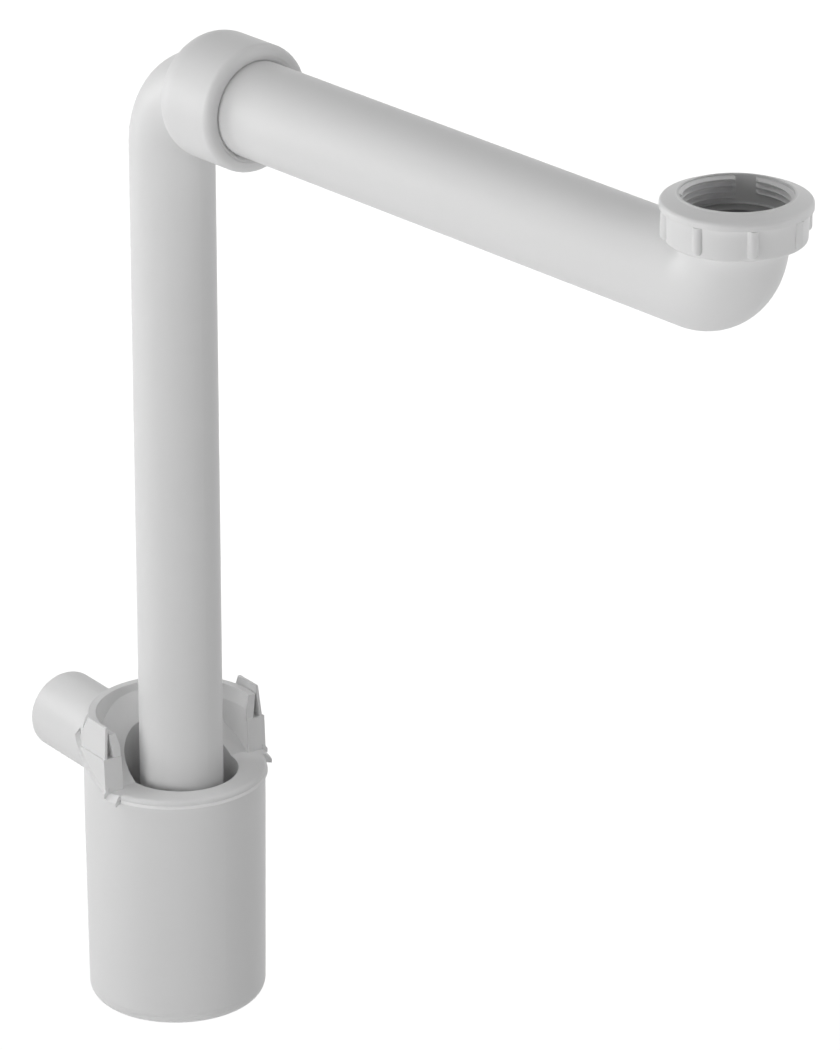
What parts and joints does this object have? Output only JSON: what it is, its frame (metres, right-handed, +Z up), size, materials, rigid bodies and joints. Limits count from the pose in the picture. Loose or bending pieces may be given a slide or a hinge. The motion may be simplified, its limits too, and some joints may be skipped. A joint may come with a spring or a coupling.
{
  "type": "washbasin trap",
  "caption": "Space-saving washbasin trap: union nut, long horizontal arm, telescopic dip tube and a clip-on trap cup with a side outlet.",
  "frame": {"origin": "centre of the union nut's mouth, at the top of its thread, where the washbasin's tailpiece enters", "axes": "+Z up, along the nut's thread axis and out of its mouth; +X along the horizontal arm, from the dip tube towards the nut"},
  "size_m": [0.4423, 0.0826, 0.4415],
  "materials": {
    "white_plastic": "satin",
    "grey_rubber": "matte"
  },
  "bodies": {
    "nut": {"union_nut": "white_plastic"},
    "arm": {"inlet_bend": "white_plastic", "inlet_washer": "grey_rubber"},
    "socket_ring": {"socket_seal": "grey_rubber"},
    "dip": {"dip_tube": "white_plastic"},
    "sleeve_ring": {"dip_seal": "grey_rubber"},
    "cover": {"trap_cover": "white_plastic", "cover_seal": "grey_rubber"},
    "cup": {"trap_body": "white_plastic"}
  },
  "joints": [
    {"name": "arm_swivel", "type": "hinge", "parent": "nut", "child": "arm", "pos_m": [0, 0, -0.0145], "axis": [0, 0, 1], "continuous": true},
    {"name": "arm_telescope", "type": "slide", "parent": "arm", "child": "socket_ring", "axis": [-1, 0, 0], "range_m": [0, 0.008]},
    {"name": "dip_tilt", "type": "hinge", "parent": "socket_ring", "child": "dip", "pos_m": [-0.279, 0, -0.0373], "axis": [1, 0, 0], "continuous": true},
    {"name": "cup_height", "type": "slide", "parent": "dip", "child": "sleeve_ring", "axis": [0, 0, 1], "range_m": [-0.02, 0.006]},
    {"name": "outlet_turn", "type": "hinge", "parent": "sleeve_ring", "child": "cover", "pos_m": [-0.323, 0, -0.3593], "axis": [0, 0, 1], "continuous": true},
    {"name": "cup_release", "type": "slide", "parent": "cover", "child": "cup", "axis": [0, 0, -1], "range_m": [0, 0.12]}
  ]
}
